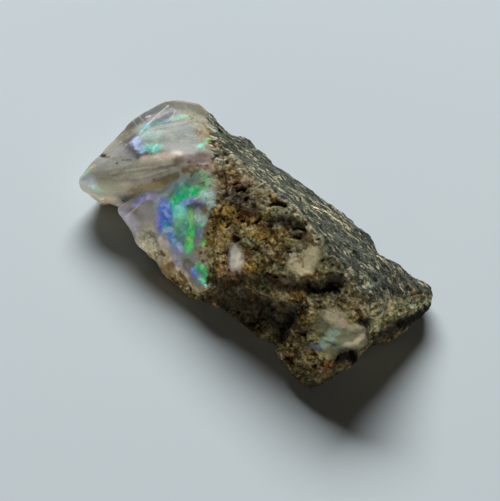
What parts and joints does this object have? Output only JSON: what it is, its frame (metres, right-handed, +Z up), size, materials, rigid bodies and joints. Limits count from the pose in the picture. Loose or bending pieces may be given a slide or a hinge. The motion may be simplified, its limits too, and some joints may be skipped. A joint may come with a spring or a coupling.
{
  "type": "rough boulder opal",
  "caption": "Rough boulder opal: a broken block of granular host rock with a translucent mass of precious opal across one end, lying flat.",
  "frame": {"origin": "middle of the bounding box, on the surface that the stone rests on", "axes": "+X along the stone from the opal end to the bare rock end, +Z up, -Y the side that shows the opal's face"},
  "size_m": [0.0408, 0.0208, 0.0123],
  "materials": {
    "opal": "vitreous, translucent and milky, with patches of green, blue and violet play of colour",
    "host_rock": "dull and granular, rust brown to grey-black with pale grains"
  },
  "bodies": {
    "root": {"opal": "opal", "host_rock": "host_rock"}
  },
  "joints": []
}
